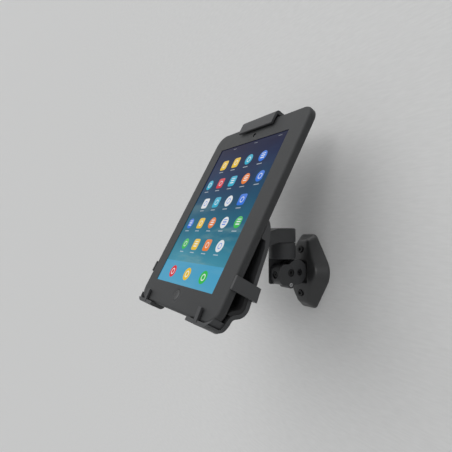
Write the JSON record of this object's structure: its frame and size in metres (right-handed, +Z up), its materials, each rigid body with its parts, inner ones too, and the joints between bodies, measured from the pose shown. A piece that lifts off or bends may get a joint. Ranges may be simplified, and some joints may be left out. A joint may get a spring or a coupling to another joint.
{
  "type": "wall tablet mount",
  "caption": "Wall-mounted tablet holder with a hexagonal wall plate, tilting arm, swivel knuckle and a cradle with ledges and a spring clip, holding a tablet in a case.",
  "frame": {"origin": "centre of the wall plate's flat back, on the wall plane", "axes": "+Y into the wall, +Z up, +X to the right for someone facing the wall; everything stands on the -Y side"},
  "size_m": [0.2066, 0.2215, 0.2456],
  "materials": {
    "wall_black": "fine grain",
    "arm_black": "satin powder coat",
    "shell_black": "fine grain",
    "clip_black": "satin powder coat",
    "screw_black": "black oxide",
    "steel_bright": "satin",
    "washer_grey": "satin",
    "liner_black": "matt",
    "case_grey": "fine grain",
    "tablet_metal": "satin",
    "display": "polished",
    "lens": "polished",
    "button": "gloss"
  },
  "bodies": {
    "wall_base": {"wall_plate": "wall_black", "wall_screws": "screw_black"},
    "arm": {"arm_cheek_right": "arm_black", "arm_cheek_left": "arm_black", "arm_spacer": "arm_black", "arm_end_cover": "arm_black", "end_cover_screw": "screw_black", "wall_pivot_bolt": "screw_black", "arm_nut": "steel_bright", "lock_screw": "steel_bright", "wall_friction_washers": "washer_grey", "head_friction_washer": "washer_grey"},
    "knuckle": {"knuckle": "arm_black", "head_pivot_bolt": "screw_black", "swivel_washer": "washer_grey", "swivel_bolt": "screw_black", "swivel_nut": "steel_bright"},
    "head": {"swivel_head": "arm_black", "flange_screws": "screw_black", "cradle_shell": "shell_black", "support_liner": "liner_black", "rail_cover": "shell_black", "rail_screws": "screw_black", "side_clip_right": "clip_black", "side_clip_left": "clip_black", "side_clip_screws": "screw_black", "clip_springs": "steel_bright", "case_front": "case_grey", "case_back": "case_grey", "tablet_body": "tablet_metal", "display_glass": "display", "camera_lens": "lens"},
    "top_clip": {"top_clip": "shell_black"},
    "home_button": {"home_button": "button"}
  },
  "joints": [
    {"name": "arm_tilt", "type": "hinge", "parent": "wall_base", "child": "arm", "pos_m": [0, -0.026, 0], "axis": [1, 0, 0], "range_deg": [-5, 30]},
    {"name": "head_tilt", "type": "hinge", "parent": "arm", "child": "knuckle", "pos_m": [0, -0.04, 0], "axis": [1, 0, 0], "range_deg": [-5, 30]},
    {"name": "swivel", "type": "hinge", "parent": "knuckle", "child": "head", "pos_m": [0, -0.0455, 0.04], "axis": [0, 0, 1], "range_deg": [-35, 35]},
    {"name": "clip_slide", "type": "slide", "parent": "head", "child": "top_clip", "axis": [0, 0.4848, 0.8746], "range_m": [0, 0.016], "stiffness_N_per_m": 200, "springref_m": -0.02},
    {"name": "home_button_press", "type": "slide", "parent": "head", "child": "home_button", "axis": [0, 0.8746, -0.4848], "range_m": [0, 0.0005], "stiffness_N_per_m": 800, "springref_m": -0.0005}
  ]
}
